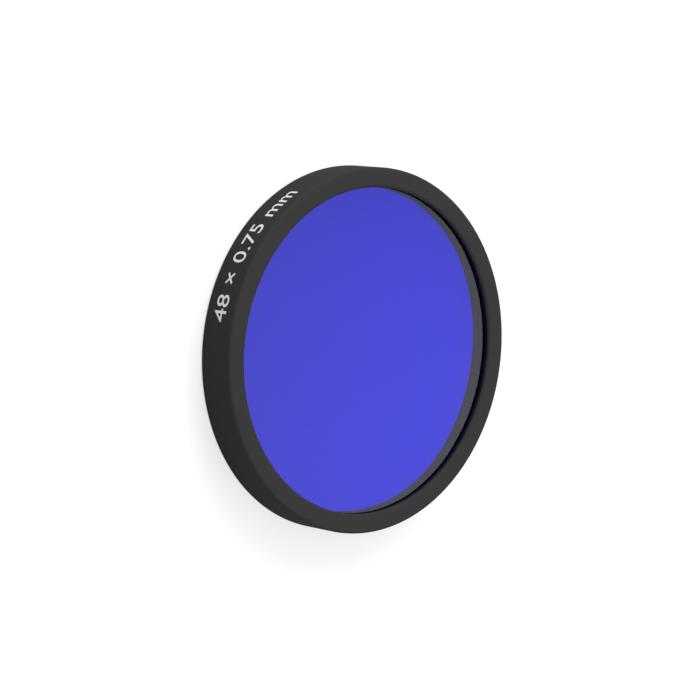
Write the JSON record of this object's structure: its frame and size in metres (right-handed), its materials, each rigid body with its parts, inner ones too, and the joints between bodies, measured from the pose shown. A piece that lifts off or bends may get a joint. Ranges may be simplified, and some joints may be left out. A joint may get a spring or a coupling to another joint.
{
  "type": "telescope color filter",
  "caption": "Round blue glass color filter in a thin black anodised cell, held by a slotted retaining ring, with a threaded rear mouth.",
  "frame": {"origin": "centre of the rear face's plane, on the optical axis", "axes": "+Z along the optical axis, out of the front face with the lip over the glass; +X through a spanner slot of the retaining ring"},
  "size_m": [0.0506, 0.0506, 0.006],
  "materials": {
    "filter_cell": "turned, black anodised, satin",
    "filter_glass": "polished plane blue glass",
    "retaining_ring": "turned, black anodised, matte"
  },
  "bodies": {
    "root": {"filter_cell": "filter_cell", "filter_glass": "filter_glass", "retaining_ring": "retaining_ring"}
  },
  "joints": []
}
